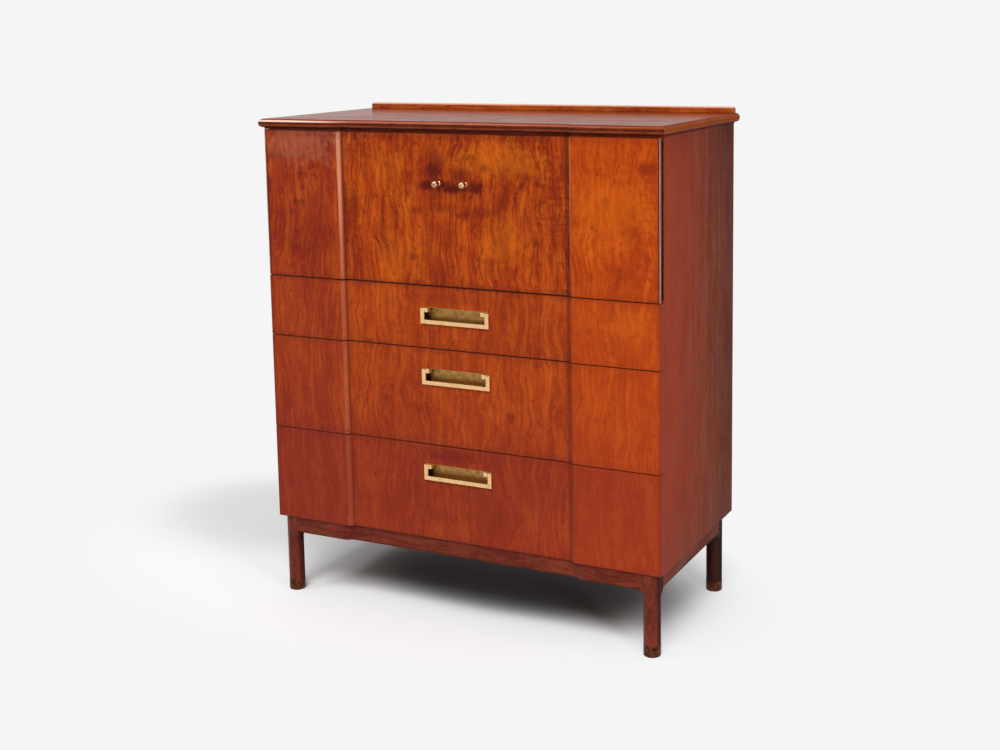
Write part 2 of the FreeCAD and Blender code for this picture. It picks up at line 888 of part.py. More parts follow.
def box_ends(z0, z1, z_pull):
    half = half_box_inside()
    y0 = y_front_back
    y1 = y_box_rear
    inner_front = box(-half, half, y0, y0 + box_wall, z0, z1)
    inner_front = inner_front.cut(dish_block(z_pull)).cut(bottom_panel(z0))
    inner_front = cut_all(inner_front, drawer_screw_list(z0, z1, z_pull))
    back = box(-half, half, y1 - box_wall, y1, z0, z1 - box_back_drop).cut(bottom_panel(z0))
    return [inner_front, back]


# Drawer pulls: a drop bail over a sunk brass dish, placed by the height of the pull's upper edge
def dish_half():
    """Half the inside width of the dish, whose side walls the pivot posts stand against."""
    return pull_width / 2 - bail_bar - bail_side_air


def dish_low(z_pull):
    return z_pull - pull_height + bail_bar - dish_low_reach


def dish_top(z_pull):
    return z_pull + dish_rise


def dish_block(z_pull):
    """The whole space that the dish fills: its flange and its pan."""
    z1 = dish_top(z_pull)
    z0 = dish_low(z_pull)
    half = dish_half()
    flange_low = z_pull - pull_height + dish_wall
    flange = box(-half - dish_flange, half + dish_flange, y_middle, y_middle + dish_wall, flange_low, z1)
    pan = box(-half - dish_wall, half + dish_wall, y_middle, y_middle + dish_depth + dish_wall,
              z0 - dish_wall, z1)
    pan = ease(pan, dish_corner, pan_corner)
    return flange.fuse(pan).removeSplitter()


def pan_corner(edge):
    return edge.BoundBox.YLength > dish_depth / 2


def dish(z_pull, box_low, box_high):
    half = dish_half()
    hollow = box(-half, half, y_middle - overrun, y_middle + dish_depth,
                 dish_low(z_pull), dish_top(z_pull) - dish_top_rim)
    hollow = ease(hollow, dish_corner - dish_wall, pan_corner)
    pan = dish_block(z_pull).cut(hollow)
    return cut_all(pan, drawer_screw_list(box_low, box_high, z_pull))


def pivot_height(z_pull):
    return z_pull - bail_thickness / 2


def pivot_depth():
    return y_middle - bail_air - bail_thickness / 2


def bail(z_pull):
    """A square U of brass bar, its upper ends rounded about the pivots."""
    z0 = z_pull - pull_height
    z_axis = pivot_height(z_pull)
    y1 = y_middle - bail_air
    y0 = y1 - bail_thickness
    half = pull_width / 2
    outer = box(-half, half, y0, y1, z0, z_axis)
    inner_half = half - bail_bar
    for hand in HANDS.values():
        start = vec(hand * inner_half, pivot_depth(), z_axis)
        outer = outer.fuse(Part.makeCylinder(bail_thickness / 2, bail_bar, start, X_AXIS * hand))
    window = box(-inner_half, inner_half, y0 - overrun, y1 + overrun, z0 + bail_bar, z_pull + overrun)
    shape = outer.cut(window).removeSplitter()

    def front_arris(edge):
        spans = edge.BoundBox
        return within(spans.YMin, y0) and within(spans.YMax, y0) and spans.ZMax < z_axis + tiny

    shape = ease(shape, bail_ease, front_arris)
    for hand in HANDS.values():
        start = vec(hand * (inner_half - overrun), pivot_depth(), z_axis)
        bore = Part.makeCylinder(pivot_radius + pivot_clearance, overrun + pivot_bail_grip + pivot_clearance,
                                 start, X_AXIS * hand)
        shape = shape.cut(bore)
    return shape


def pivots(z_pull):
    """The two posts at the upper corners of the dish, and the pins from them into the bail."""
    z1 = dish_top(z_pull) - dish_top_rim
    z_axis = pivot_height(z_pull)
    y0 = y_middle - bail_air - bail_thickness
    outer = dish_half()
    pin_length = pivot_post_grip + bail_side_air + pivot_bail_grip
    pieces = []
    for hand in HANDS.values():
        def dish_corner_edge(edge):
            centre = edge.CenterOfMass
            at_corner = within(centre.x, hand * outer) and within(centre.z, z1)
            return at_corner and edge.BoundBox.YLength > post_sink

        post = hand_box(hand, outer - post_width, outer, y0, y_middle + post_sink, z1 - post_height, z1)
        post = ease(post, dish_corner - dish_wall, dish_corner_edge)
        start = vec(hand * (outer - pivot_post_grip), pivot_depth(), z_axis)
        pin = Part.makeCylinder(pivot_radius, pin_length, start, X_AXIS * hand)
        pieces.append(post.cut(pin))
        pieces.append(pin)
    return pieces


# The chest as a list of named pieces
def drawer_nodes(number, z0, z1, z_pull, box_low, box_high):
    name = "drawer_" + str(number)
    return {
        name + "_front": [drawer_front(z0, z1, z_pull, box_low, box_high)],
        name + "_screws": drawer_screw_list(box_low, box_high, z_pull),
        name + "_box_sides": box_sides(box_low, box_high),
        name + "_box_ends": box_ends(box_low, box_high, z_pull),
        name + "_bottom": [bottom_panel(box_low)],
        name + "_pull_dish": [dish(z_pull, box_low, box_high)],
        name + "_pull_bail": [bail(z_pull)],
        name + "_pull_pivots": pivots(z_pull),
    }


def door_nodes(side, hand):
    return {
        "door_" + side + "_panel": [door_panel(hand)],
        "door_" + side + "_edge_bead": [door_lip(hand)],
        "door_" + side + "_knob": [knob(hand)],
        "door_" + side + "_hinge_leaf": door_leaf(hand),
        "door_" + side + "_strike": [strike(hand)],
    }


def chest_nodes():
    nodes = {
        "case_bottom": [case_bottom()],
        "case_cupboard_floor": [cupboard_floor()],
        "case_sub_top": [sub_top()],
        "case_divider_rails": [divider_rail(z_divider_high), divider_rail(z_divider_low)],
        "case_back_panel": [back_panel()],
        "case_screws": case_screws(),
        "cupboard_partition": [cupboard_partition()],
        "cupboard_shelves": shelves(),
        "cupboard_shelf_pins": shelf_pins(),
        "top_ground": [top_ground()],
        "top_board": [top_board()],
        "top_gallery_rail": [gallery_rail()],
        "base_apron": [base_apron()],
        "base_rail_rear": [base_rear_rail()],
        "base_side_rails": [base_side_rail(hand) for hand in HANDS.values()],
        "base_corner_blocks": corner_blocks(),
        "base_ferrules": ferrules(),
        "door_hinge_case_halves": case_leaves() + hinge_pins(),
        "door_catches": door_catches(),
        "drawer_runners": drawer_runners(),
    }
    for side, hand in HANDS.items():
        nodes["case_side_" + side] = [case_side(hand)]
        for end in ("front", "rear"):
            nodes["base_leg_" + end + "_" + side] = [leg(hand, end)]
        nodes.update(door_nodes(side, hand))
    lows = (z_drawer_1, z_drawer_2, z_drawer_3)
    heights = (shallow_front_height, deep_front_height, deep_front_height)
    drops = (shallow_pull_drop, pull_drop, pull_drop)
    for index, (box_low, box_high) in enumerate(box_heights()):
        z1 = lows[index] + heights[index]
        nodes.update(drawer_nodes(index + 1, lows[index], z1, z1 - drops[index], box_low, box_high))
    return nodes


def write(nodes):
    os.makedirs("parts", exist_ok=True)
    for name, solids in nodes.items():
        shape = solids[0] if len(solids) == 1 else Part.makeCompound(solids)
        shape.exportStep("parts/" + name + ".step")


write(chest_nodes())
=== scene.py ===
import math
import bmesh
import bpy
from mathutils import Matrix, Vector

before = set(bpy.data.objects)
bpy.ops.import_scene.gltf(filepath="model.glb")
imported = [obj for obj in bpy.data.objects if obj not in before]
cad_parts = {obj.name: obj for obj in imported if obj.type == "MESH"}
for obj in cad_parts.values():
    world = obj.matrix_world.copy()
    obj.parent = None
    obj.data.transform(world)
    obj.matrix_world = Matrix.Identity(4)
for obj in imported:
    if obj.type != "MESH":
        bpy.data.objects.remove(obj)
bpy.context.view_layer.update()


# Colours, nodes and materials

def colour(code):
    """An sRGB hex colour as linear light."""
    channels = [int(code[i:i + 2], 16) / 255 for i in (1, 3, 5)]
    return (*[c / 12.92 if c <= 0.04045 else ((c + 0.055) / 1.055) ** 2.4 for c in channels], 1.0)


def add(tree, kind, inputs=None, stops=None, **settings):
    """Adds a node with its settings, then links or sets each input by its name or number.

    The stops of a colour ramp are pairs of a place and a hex colour or a grey.
    """
    made = tree.nodes.new(kind)
    for name, value in settings.items():
        setattr(made, name, value)
    for key, value in (inputs or {}).items():
        if isinstance(value, bpy.types.NodeSocket):
            tree.links.new(value, made.inputs[key])
        else:
            made.inputs[key].default_value = value
    if stops:
        ramp = made.color_ramp
        while len(ramp.elements) < len(stops):
            ramp.elements.new(0.5)
        for element, (place, tone) in zip(ramp.elements, stops):
            element.position = place
            element.color = colour(tone) if isinstance(tone, str) else (tone, tone, tone, 1)
    return made


def new_material(name):
    material = bpy.data.materials.new(name)
    material.use_nodes = True
    tree = material.node_tree
    tree.nodes.clear()
    shader = add(tree, "ShaderNodeBsdfPrincipled")
    add(tree, "ShaderNodeOutputMaterial", {"Surface": shader.outputs[0]})
    return material, tree, shader


def dress(tree, shader, tone, rough, height, strength, depth_mm):
    """Links the colour, the roughness and a fine relief to the shader."""
    bump = add(tree, "ShaderNodeBump", {"Height": height, "Strength": strength, "Distance": depth_mm / 1000})
    tree.links.new(tone, shader.inputs["Base Color"])
    tree.links.new(rough, shader.inputs["Roughness"])
    tree.links.new(bump.outputs[0], shader.inputs["Normal"])


def piece_place(tree):
    """Places on the chest in millimetres."""
    place = add(tree, "ShaderNodeTexCoord").outputs["Object"]
    return add(tree, "ShaderNodeVectorMath", {0: place, "Scale": 1000.0}, operation="SCALE").outputs[0]


def facing(tree):
    """Which way a face is turned, as X, Y and Z from -1 to 1."""
    normal = add(tree, "ShaderNodeTexCoord").outputs["Normal"]
    return add(tree, "ShaderNodeSeparateXYZ", {0: normal}).outputs


def along_the_board(tree, split, grain):
    """Places across the grain, along it and into the board, from the chest's axes in that order."""
    across, along, into = [split.outputs[axis] for axis in grain]
    return add(tree, "ShaderNodeCombineXYZ", {0: across, 1: along, 2: into}).outputs[0]


def cloud(tree, place, size_mm, detail=2.0, roughness=0.5):
    """Soft noise from 0 to 1 whose spots are size_mm wide, long and deep."""
    scaled = add(tree, "ShaderNodeVectorMath", {0: place, 1: size_mm}, operation="DIVIDE").outputs[0]
    return add(tree, "ShaderNodeTexNoise", {"Vector": scaled, "Scale": 1.0, "Detail": detail,
                                            "Roughness": roughness}).outputs[0]


def stain(tree, below, pattern, start, full, amount, tone):
    """Lays a tone over the colour below: none where the pattern is at start, and the amount at full."""
    share = add(tree, "ShaderNodeMapRange", {0: pattern, 1: start, 2: full, 3: 0.0, 4: amount},
                interpolation_type="SMOOTHSTEP").outputs[0]
    return add(tree, "ShaderNodeMix", {0: share, 6: below, 7: colour(tone)}, data_type="RGBA").outputs[2]


# Walnut

WAVE_PERIOD = math.pi / 10       # the wave texture repeats after this many units
DRIFT_MM = 150                   # length over which the grain wanders
DRIFT_REACH_MM = (76, 28, 28)    # the noise keeps near its middle, so a quarter of this shows to each side
TEAR = 0.55                      # how far a torn border strays, as a share of the mark's half size
TORN_BORDER = (1.3, 0.3)         # reach at which a torn mark starts and is at its full strength
EVEN_BORDER = (1.1, 0.4)         # the same for an even mark
PORE_CELL_MM = (2.8, 22.0, 2.8)  # a pore fills half of its cell each way
SPECK_CELL_MM = 34
DULL_ROUGHNESS = 0.75            # of a face whose lacquer has gone dull


def growth_rings(tree, wavy, rings):
    """Rings of a log cut a little aslant: arches round the heart, lines further out."""
    lean = math.radians(rings["lean_deg"])
    log = add(tree, "ShaderNodeMapping", {
        "Vector": wavy, "Scale": (1, 1, 0), "Rotation": (lean, 0, 0),
        "Location": (-rings["heart_mm"], 0, rings["depth_mm"] - rings["apex_mm"] * math.sin(lean))})
    return add(tree, "ShaderNodeTexWave", {
        "Vector": log.outputs[0], "Scale": WAVE_PERIOD / rings["width_mm"], "Distortion": 5.0, "Detail": 3.0,
        "Detail Scale": 0.7}, wave_type="RINGS", rings_direction="Y", wave_profile="SAW").outputs["Fac"]


def lay_mark(tree, surface, kind, reach, amount, tones, ragged, curl):
    """Lays one mark, whose reach is 0 at its middle and 1 at its border.

    Golden flames, clumps and painted sheen have torn borders, ripples run across the grain, and the others
    are even.
    """
    if kind == "ripple":
        fade = add(tree, "ShaderNodeMapRange", {0: reach, 1: 0.4, 2: 1.0, 3: 1.0, 4: 0.0}).outputs[0]
        wave = add(tree, "ShaderNodeMapRange", {0: curl, 1: 0.46, 2: 0.62, 3: 0.0, 4: 1.0}).outputs[0]
        shown = add(tree, "ShaderNodeMath", {0: fade, 1: wave}, operation="MULTIPLY").outputs[0]
        return stain(tree, surface, shown, 0.0, 1.0, amount, tones["dark"])
    if kind in ("gold", "clump", "painted_sheen"):
        torn = add(tree, "ShaderNodeMath", {0: ragged, 1: TEAR, 2: reach}, operation="MULTIPLY_ADD")
        return stain(tree, surface, torn.outputs[0], *TORN_BORDER, amount, tones[kind])
    return stain(tree, surface, reach, *EVEN_BORDER, amount, tones[kind])


def lay_marks(tree, surface, place, wavy, mottle, marks, tones):
    """Lays marks at places of their own on the front.

    One multiply-add centres and scales each, because Mapping nodes for so many marks are more than the
    renderer can hold in one material.
    """
    ragged = add(tree, "ShaderNodeMapRange", {0: mottle, 1: 0.3, 2: 0.7, 3: -1.0, 4: 1.0},
                 clamp=False).outputs[0]
    curl = cloud(tree, wavy, (45.0, 8.0, 45.0), detail=1.0)
    for kind, spots in marks.items():
        for x, z, half_width, half_height, amount in spots:
            near = add(tree, "ShaderNodeVectorMath", {
                0: place, 1: (1 / half_width, 0, 1 / half_height), 2: (-x / half_width, 0, -z / half_height)},
                operation="MULTIPLY_ADD").outputs[0]
            reach = add(tree, "ShaderNodeVectorMath", {0: near}, operation="LENGTH").outputs["Value"]
            surface = lay_mark(tree, surface, kind, reach, amount, tones, ragged, curl)
    return surface


def walnut(name, tones, grain, rings, rough, level, under=(), marks=None, shades=(), dull_and_shaded_faces=()):
    """Sliced walnut veneer or board, stained and lacquered.

    It gives the eye broad clouds of tone, long wandering streaks, nested arches from the growth rings, small
    clumps, and short dark pores. The lacquer is smooth, with a slight waviness in its gloss.

    The tones under the figure and the shades over it change along an axis of the chest, from a start to a
    full strength in millimetres. The dull faces are those turned along an axis, from a start to a full turn:
    there the lacquer is made dull and a tone is laid over them, which is painted shade on the fronts' top and
    bottom edges, the top's undersides and the legs' sides.
    """
    material, tree, shader = new_material(name)
    place = piece_place(tree)
    split = add(tree, "ShaderNodeSeparateXYZ", {0: place})
    board = along_the_board(tree, split, grain)
    drift = add(tree, "ShaderNodeTexNoise", {"Vector": board, "Scale": 1 / DRIFT_MM, "Detail": 2.0})
    drift = add(tree, "ShaderNodeVectorMath", {0: drift.outputs["Color"], 1: DRIFT_REACH_MM},
                operation="MULTIPLY")
    wavy = add(tree, "ShaderNodeVectorMath", {0: board, 1: drift.outputs[0]}, operation="ADD").outputs[0]

    # Clouds carry the main tones, and the growth rings lie over them
    broad = cloud(tree, board, tones["cloud_mm"], detail=5.0, roughness=0.6)
    surface = add(tree, "ShaderNodeValToRGB", {0: broad}, stops=tones["clouds"]).outputs[0]
    for axis, start, full, amount, tone in under:
        surface = stain(tree, surface, split.outputs[axis], start, full, amount, tones[tone])
    surface = stain(tree, surface, growth_rings(tree, wavy, rings), 0.55, 1.0, rings["amount"], tones["dark"])

    # Streaks 15 mm wide, then 5 mm, then fibres drawn 1.9 mm wide, coarser than real ones, so that they show
    band = cloud(tree, wavy, (15.0, 260.0, 15.0), detail=2.0)
    streak = cloud(tree, wavy, (5.0, 120.0, 5.0), detail=2.0, roughness=0.6)
    fibre = cloud(tree, wavy, (1.9, 48.0, 1.9), detail=1.0, roughness=0.7)
    for lines, start, full, tone in ((band, 0.50, 0.66, "dark"), (band, 0.48, 0.32, "light"),
                                     (streak, 0.52, 0.66, "dark"), (streak, 0.46, 0.32, "light"),
                                     (fibre, 0.54, 0.70, "dark")):
        surface = stain(tree, surface, lines, start, full, tones["streaks"], tones[tone])

    # Mottle 14 mm wide, where the fibres dip in and out, and dark clumps 24 mm wide with torn borders
    mottle = cloud(tree, board, (14.0, 20.0, 14.0), detail=4.0, roughness=0.7)
    surface = stain(tree, surface, mottle, 0.53, 0.66, 0.34, tones["dark"])
    surface = stain(tree, surface, mottle, 0.46, 0.34, 0.24, tones["light"])
    clump = cloud(tree, wavy, (24.0, 34.0, 24.0), detail=6.0, roughness=0.75)
    surface = stain(tree, surface, clump, 0.56, 0.64, tones["clumps"], tones["clump"])

    if marks:
        surface = lay_marks(tree, surface, place, wavy, mottle, marks, tones)
    for axis, start, full, amount, tone in shades:
        surface = stain(tree, surface, split.outputs[axis], start, full, amount, tones[tone])

    # Open pores, drawn 1.4 mm wide and 11 mm long, about three times the real width, and a few dark specks
    pore_place = add(tree, "ShaderNodeVectorMath", {0: wavy, 1: PORE_CELL_MM}, operation="DIVIDE").outputs[0]
    pore = add(tree, "ShaderNodeTexVoronoi", {"Vector": pore_place, "Scale": 1.0}).outputs["Distance"]
    surface = stain(tree, surface, pore, 0.26, 0.06, 0.40, tones["pore"])
    speck = add(tree, "ShaderNodeTexVoronoi", {"Vector": board, "Scale": 1 / SPECK_CELL_MM})
    surface = stain(tree, surface, speck.outputs["Distance"], 0.07, 0.03, 0.55, tones["pore"])

    smear = cloud(tree, board, (60.0, 90.0, 60.0), detail=3.0)
    gloss = add(tree, "ShaderNodeMapRange", {0: smear, 1: 0.3, 2: 0.7, 3: rough * 0.85,
                                             4: rough * 1.2}).outputs[0]
    turned = facing(tree)
    for axis, start, full, amount, tone in dull_and_shaded_faces:
        surface = stain(tree, surface, turned[axis], start, full, amount, tones[tone])
        gloss = add(tree, "ShaderNodeMapRange", {0: turned[axis], 1: start, 2: full, 3: gloss,
                                                 4: DULL_ROUGHNESS}).outputs[0]
    shader.inputs["Specular IOR Level"].default_value = level
    dress(tree, shader, surface, gloss, fibre, strength=0.05, depth_mm=0.3)
    return material


# Tones of each walnut: the clouds from dark to light, the size of the clouds, the tones laid over them, and
# the strengths of the streaks and clumps
FRONT_TONES = {
    "clouds": [(0.30, "#7E2204"), (0.42, "#983004"), (0.52, "#A83C05"), (0.62, "#B84A08"), (0.74, "#CC600E")],
    "cloud_mm": (64.0, 120.0, 64.0), "dark": "#701E08", "light": "#CC5E12", "clump": "#541008",
    "pore": "#451004", "gold": "#D87210", "painted_sheen": "#C08468", "pale_wear_and_highlight": "#E29672", "grime_and_painted_shade": "#30100A",
    "plain": "#A43E14", "deep": "#7C221C", "bright": "#D04E08", "edge": "#5C1E10", "end": "#9C4030",
    "streaks": 0.42, "clumps": 0.6}
SIDE_TONES = {
    "clouds": [(0.34, "#66281C"), (0.44, "#763220"), (0.54, "#823A24"), (0.66, "#96482C")],
    "cloud_mm": (46.0, 900.0, 46.0), "dark": "#52201A", "light": "#9C5234", "clump": "#4C1C14",
    "pore": "#38160E", "warm": "#A83E22", "deep": "#542822", "plain": "#7C4236",
    "streaks": 0.30, "clumps": 0.2}
TOP_TONES = {
    "clouds": [(0.30, "#702812"), (0.44, "#7E3014"), (0.56, "#8C3A18"), (0.70, "#9C461C")],
    "cloud_mm": (70.0, 110.0, 70.0), "dark": "#561A0A", "light": "#A4522A", "clump": "#4C140A",
    "pore": "#3C120A", "pale_wear_and_highlight": "#F6C8B8", "grime_and_painted_shade": "#2E0E0A", "warm": "#D4581E", "rear": "#9A3C12",
    "deep": "#3C100C", "edge": "#A85018", "streaks": 0.26, "clumps": 0.3}
BASE_TONES = {
    "clouds": [(0.30, "#5A1E14"), (0.44, "#682618"), (0.56, "#742C1C"), (0.70, "#803622")],
    "cloud_mm": (60.0, 110.0, 60.0), "dark": "#42140C", "light": "#8C442C", "clump": "#3C120C",
    "pore": "#2C0C08", "deep": "#220A08", "streaks": 0.26, "clumps": 0.3}
RAIL_TONES = {
    "clouds": [(0.30, "#903408"), (0.44, "#A4420C"), (0.56, "#B44E10"), (0.70, "#C05E18")],
    "cloud_mm": (50.0, 160.0, 50.0), "dark": "#762608", "light": "#CC7A30", "clump": "#6E2010",
    "pore": "#54200C", "pale_wear_and_highlight": "#F0B8A0", "deep": "#541608", "streaks": 0.3, "clumps": 0.25}
BEAD_TONES = {
    "clouds": [(0.30, "#C88068"), (0.50, "#DC9C86"), (0.70, "#ECB8A6")],
    "cloud_mm": (30.0, 160.0, 30.0), "dark": "#A0583E", "light": "#F4D4C6", "clump": "#8C4830",
    "pore": "#8C4C38", "deep": "#2A0A06", "edge": "#A86450", "streaks": 0.3, "clumps": 0.2}

# Growth rings of each log
FRONT_RINGS = {"heart_mm": 160, "apex_mm": 1128, "depth_mm": 62, "lean_deg": 5.5,
               "width_mm": 15, "amount": 0.50}
SIDE_RINGS = {"heart_mm": -30, "apex_mm": 1240, "depth_mm": 40, "lean_deg": 4.0,
              "width_mm": 16, "amount": 0.40}
BOARD_RINGS = {"heart_mm": 60, "apex_mm": 700, "depth_mm": 40, "lean_deg": 3.0,
               "width_mm": 13, "amount": 0.26}

# Lines of the front in millimetres: the tops of the doors, the gaps below them, the lower edge of the bottom
# drawer, and the outer edges
DOOR_TOP, DOOR_FOOT, DRAWER_1_FOOT, DRAWER_2_FOOT, DRAWER_3_FOOT = 1174.5, 814.75, 664.25, 429.75, 195
LEFT_EDGE, RIGHT_EDGE = -519, 519
ENDLESS = 9000    # half the length of a mark that runs over the whole chest

# Marks by kind: middle X and Z, half width and half height in millimetres, and strength. The pale marks are
# arrises worn pale that also carry a painted highlight, strongest on the left step. The dark lines are
# painted shade along the gaps, the steps and the outer edges, with some grime in them. The sheen is a painted
# reflection. The front steps back between X -299 and 299
FRONT_MARKS = {
    "gold": [(120, 1112, 130, 44, 0.34), (-180, 1085, 70, 60, 0.16), (400, 1010, 110, 90, 0.30),
             (-150, 880, 60, 70, 0.16), (130, 930, 60, 60, 0.22), (440, 760, 70, 40, 0.30)],
    "clump": [(-42, 1104, 26, 34, 0.62), (-52, 1052, 34, 14, 0.50), (48, 1118, 20, 9, 0.42),
              (86, 1096, 14, 11, 0.45), (50, 1050, 40, 18, 0.45), (0, 1056, 34, 8, 0.42),
              (-118, 1032, 10, 12, 0.42), (-100, 992, 20, 10, 0.42), (-30, 1000, 36, 12, 0.42),
              (30, 985, 30, 12, 0.36), (84, 994, 34, 12, 0.42), (120, 1010, 16, 22, 0.30),
              (-106, 881, 18, 10, 0.55), (95, 882, 34, 8, 0.36), (196, 1076, 16, 10, 0.45),
              (228, 1062, 22, 6, 0.45), (-272, 1000, 16, 26, 0.36), (-494, 1112, 30, 18, 0.60),
              (-410, 1037, 8, 8, 0.55), (-475, 973, 12, 18, 0.42), (-442, 977, 12, 8, 0.42),
              (-434, 888, 22, 7, 0.50), (-372, 1010, 20, 26, 0.24), (488, 1106, 28, 18, 0.85),
              (440, 968, 24, 12, 0.36), (434, 872, 24, 26, 0.40), (392, 1034, 10, 10, 0.40),
              (0, 786, 100, 16, 0.28), (-14, 406, 88, 20, 1.0), (150, 330, 130, 60, 0.24),
              (-360, 430, 60, 14, 0.30), (-60, 330, 140, 70, 0.24), (300, 420, 60, 12, 0.20),
              # The clumps round the door knobs are partly painted shadow of the knobs, partly the dark figure
              # there
              (-46, 1084, 26, 20, 0.75), (-68, 1052, 22, 12, 0.9), (4, 1046, 46, 11, 0.95),
              (64, 1050, 22, 16, 0.9), (26, 1080, 26, 16, 0.6), (-20, 1052, 22, 14, 0.7),
              (100, 396, 34, 44, 0.45), (-70, 262, 50, 26, 0.35), (70, 262, 60, 30, 0.35)],
    "ripple": [(250, 1005, 70, 120, 0.42), (-278, 985, 34, 90, 0.38), (490, 1010, 40, 120, 0.30)],
    # Painted reflection on the upper left door
    "painted_sheen": [(-415, 1148, 120, 56, 0.30)],
    "pale_wear_and_highlight": [(-304, 1160, 6, 330, 0.80), (-304, 600, 6, ENDLESS, 0.26), (304, 1100, 2.5, 260, 0.35)],
    "grime_and_painted_shade": [(-298, 600, 1.6, ENDLESS, 0.5), (290, 600, 1.8, ENDLESS, 0.6), (296, 600, 6, ENDLESS, 0.4),
               (0, DOOR_TOP, ENDLESS, 4, 0.8), (0, DOOR_FOOT, ENDLESS, 3.4, 0.85),
               (0, DRAWER_1_FOOT, ENDLESS, 3.0, 0.75), (0, DRAWER_2_FOOT, ENDLESS, 3.0, 0.75),
               (0, 1170, ENDLESS, 16, 0.22), (0, DOOR_FOOT, ENDLESS, 15, 0.22),
               (0, DRAWER_1_FOOT, ENDLESS, 15, 0.20), (0, DRAWER_2_FOOT, ENDLESS, 20, 0.22),
               (LEFT_EDGE, 600, 16, ENDLESS, 0.34), (RIGHT_EDGE, 600, 12, ENDLESS, 0.30),
               (-292, 600, 12, ENDLESS, 0.18), (0, DRAWER_3_FOOT, ENDLESS, 4.5, 0.6),
               (0, DRAWER_3_FOOT, ENDLESS, 16, 0.2)],
}
# The top's rounded front is rubbed pale and carries a painted highlight, most at the left, with painted shade
# as dark lines above and below that
TOP_MARKS = {
    "pale_wear_and_highlight": [(-460, 1195.2, 200, 2.6, 1.0), (0, 1196.0, 640, 1.6, 0.2)],
    "grime_and_painted_shade": [(0, 1199.2, ENDLESS, 1.2, 0.45), (0, 1190, ENDLESS, 3.6, 0.75), (0, 1180, ENDLESS, 3.6, 0.9)],
}

front_walnut = walnut(
    "walnut_front_lacquered", FRONT_TONES, "XZY", FRONT_RINGS, rough=0.22, level=0.10, marks=FRONT_MARKS,
    shades=[("Z", 830, 800, 0.30, "plain"), ("X", -290, -330, 0.30, "deep"), ("X", 296, 312, 0.26, "bright"),
            ("Z", 660, 400, 0.24, "deep"), ("Z", 429, 424, 0.30, "deep"),
            # Along the outer edges the fronts are painted darker as shade
            ("X", -514.5, -517, 0.6, "edge"), ("X", 514.5, 517.5, 0.6, "edge")],
    # The top and bottom edges of the fronts, in the gaps, are painted dark as shade; their ends take a tone
    # like the side's
    dull_and_shaded_faces=[("X", 0.75, 0.95, 0.9, "end"), ("X", -0.75, -0.95, 0.9, "end"),
                ("Z", 0.75, 0.95, 0.9, "edge"), ("Z", -0.75, -0.95, 0.9, "edge")])
# The side is painted lighter towards the front and darker towards the rear, standing in for the fall of the
# light along it; low down it takes a plainer tone
side_walnut = walnut(
    "walnut_side_satin", SIDE_TONES, "YZX", SIDE_RINGS, rough=0.42, level=0.015,
    shades=[("Y", 200, -230, 0.75, "warm"), ("Y", 60, 260, 0.30, "deep"), ("Z", 420, 200, 0.30, "plain")])
inner_walnut = walnut("walnut_inside_satin", SIDE_TONES, "YXZ", BOARD_RINGS, rough=0.45, level=0.10)
# The top's upper face takes a warm tone, with a darker red laid towards the rear as a painted reflection of
# the rail, and thinly towards the front. Its undersides are painted dark as shade, and its ends take a tone
# of their own
top_walnut = walnut(
    "walnut_top_lacquered", TOP_TONES, "YXZ", BOARD_RINGS, rough=0.16, level=0.10,
    under=[("Z", 1196.4, 1200, 0.75, "warm"), ("Y", 110, 215, 0.7, "rear"), ("Y", -60, -200, 0.35, "rear")],
    marks=TOP_MARKS,
    dull_and_shaded_faces=[("X", 0.75, 0.95, 0.7, "edge"), ("X", -0.75, -0.95, 0.7, "edge"),
                ("Z", -0.4, -0.8, 0.8, "deep")])
# The rail's top edge is painted pale as a highlight, and its foot is darker along its joint with the top
gallery_walnut = walnut(
    "walnut_gallery_lacquered", RAIL_TONES, "ZXY", BOARD_RINGS, rough=0.26, level=0.20,
    shades=[("Z", 1210.5, 1214.5, 0.8, "pale_wear_and_highlight"), ("Z", 1202.5, 1200, 0.7, "deep")])
# The rear legs are painted darker as shade, and so are the sides of the legs turned along X, where the
# lacquer is also made dull
leg_walnut = walnut(
    "walnut_leg_lacquered", BASE_TONES, "XZY", BOARD_RINGS, rough=0.32, level=0.14,
    shades=[("Y", 60, 160, 0.85, "deep")],
    dull_and_shaded_faces=[("X", 0.7, 0.95, 0.6, "deep"), ("X", -0.7, -0.95, 0.6, "deep")])
apron_walnut = walnut(
    "walnut_apron_lacquered", BASE_TONES, "ZXY", BOARD_RINGS, rough=0.32, level=0.10,
    shades=[("Z", 163, 158, 0.5, "deep")])
ground_walnut = walnut("walnut_ground_dull", BASE_TONES, "ZXY", BOARD_RINGS, rough=0.6, level=0.01)
side_rail_walnut = walnut("walnut_side_rail_satin", SIDE_TONES, "ZYX", BOARD_RINGS, rough=0.42, level=0.03)
# The beads beside the doors are pale maple, with finer figure in the same layers; their pale tone also
# stands in for a highlight along the doors' outer edges, so it is partly a painted highlight. Their grooves
# are painted dark as shade, and the rest of them takes a thin darker tone
maple_bead = walnut(
    "maple_bead_with_painted_highlight", BEAD_TONES, "XZY", BOARD_RINGS, rough=0.5, level=0.02,
    shades=[("Y", -240.2, -238.6, 0.95, "deep"), ("Z", 700, 800, 0.45, "edge")])


# Plain woods of the inside and the back

